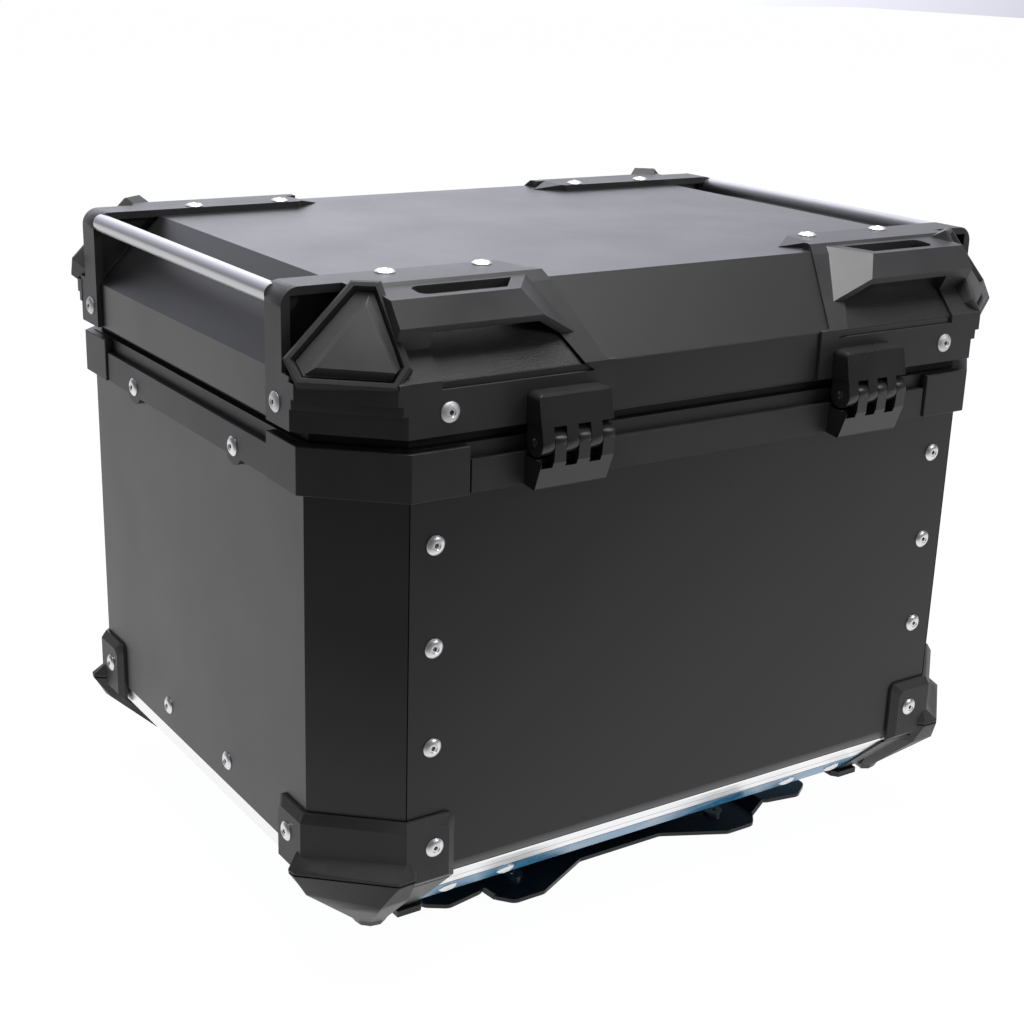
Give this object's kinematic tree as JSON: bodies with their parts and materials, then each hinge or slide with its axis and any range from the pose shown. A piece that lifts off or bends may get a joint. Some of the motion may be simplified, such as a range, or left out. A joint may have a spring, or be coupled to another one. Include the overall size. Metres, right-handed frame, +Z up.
{
  "type": "motorcycle top case",
  "caption": "Riveted aluminium motorcycle top case with chamfered corners, hinged lid, moulded corner guards with carrying bars, side rails and a quick-mount base plate.",
  "frame": {"origin": "on the floor under the middle of the case, at the underside of the base plate", "axes": "+X towards the case's right-hand end, +Y towards the latches (the lid hinges on the -Y side), +Z up"},
  "size_m": [0.4512, 0.37, 0.3557],
  "materials": {
    "powder_coat": "satin black powder coat",
    "black_plastic": "fine-textured black plastic",
    "hinge_plastic": "smooth satin black plastic",
    "raw_aluminium": "mill finish",
    "film": "glossy blue transport film",
    "rubber": "matte",
    "rivet": "bright",
    "rail": "satin anodised",
    "plate_steel": "gloss black over steel",
    "screw_steel": "black oxide",
    "pin_steel": "bright, ground",
    "lock_metal": "satin chrome"
  },
  "bodies": {
    "case": {"front_panel": "powder_coat", "rear_panel": "powder_coat", "left_panel": "powder_coat", "right_panel": "powder_coat", "bottom_pan": "raw_aluminium", "protective_film": "film", "floor_mat": "rubber", "rim_seal": "rubber", "rim_frame": "black_plastic", "rim_corner_front_left": "black_plastic", "bottom_guard_front_left": "black_plastic", "rim_corner_front_right": "black_plastic", "bottom_guard_front_right": "black_plastic", "rim_corner_rear_left": "black_plastic", "bottom_guard_rear_left": "black_plastic", "rim_corner_rear_right": "black_plastic", "bottom_guard_rear_right": "black_plastic", "base_plate": "plate_steel", "base_screws": "screw_steel", "dock_bolts": "screw_steel", "hinge_lower_left": "hinge_plastic", "latch_base_left": "hinge_plastic", "hinge_pin_left": "pin_steel", "latch_pin_left": "pin_steel", "hinge_lower_right": "hinge_plastic", "latch_base_right": "hinge_plastic", "hinge_pin_right": "pin_steel", "latch_pin_right": "pin_steel", "panel_rivets": "rivet", "end_rivets": "rivet", "guard_rivets": "rivet", "pan_rivets": "rivet"},
    "lid": {"lid_shell": "powder_coat", "lid_rim": "black_plastic", "left_rail": "rail", "right_rail": "rail", "lid_rivets": "rivet", "lid_guard_front_left": "black_plastic", "lid_guard_front_right": "black_plastic", "lid_guard_rear_left": "black_plastic", "lid_guard_rear_right": "black_plastic", "guard_insert_front_left": "black_plastic", "guard_insert_front_right": "black_plastic", "guard_insert_rear_left": "black_plastic", "guard_insert_rear_right": "black_plastic", "hinge_upper_left": "hinge_plastic", "hinge_upper_right": "hinge_plastic", "latch_strike_left": "hinge_plastic", "latch_strike_right": "hinge_plastic"},
    "flap_left": {"latch_flap_left": "hinge_plastic"},
    "flap_right": {"latch_flap_right": "hinge_plastic"},
    "plug_left": {"lock_plug_left": "lock_metal"},
    "plug_right": {"lock_plug_right": "lock_metal"}
  },
  "joints": [
    {"name": "lid_hinge", "type": "hinge", "parent": "case", "child": "lid", "pos_m": [0, -0.178, 0.281], "axis": [1, 0, 0], "range_deg": [0, 95]},
    {"name": "flap_left_hinge", "type": "hinge", "parent": "case", "child": "flap_left", "pos_m": [-0.097, 0.178, 0.264], "axis": [-1, 0, 0], "range_deg": [0, 110]},
    {"name": "plug_left_turn", "type": "hinge", "parent": "flap_left", "child": "plug_left", "pos_m": [-0.097, 0.182, 0.3005], "axis": [0, 1, 0], "range_deg": [0, 90]},
    {"name": "flap_right_hinge", "type": "hinge", "parent": "case", "child": "flap_right", "pos_m": [0.097, 0.178, 0.264], "axis": [-1, 0, 0], "range_deg": [0, 110]},
    {"name": "plug_right_turn", "type": "hinge", "parent": "flap_right", "child": "plug_right", "pos_m": [0.097, 0.182, 0.3005], "axis": [0, 1, 0], "range_deg": [0, 90]}
  ]
}
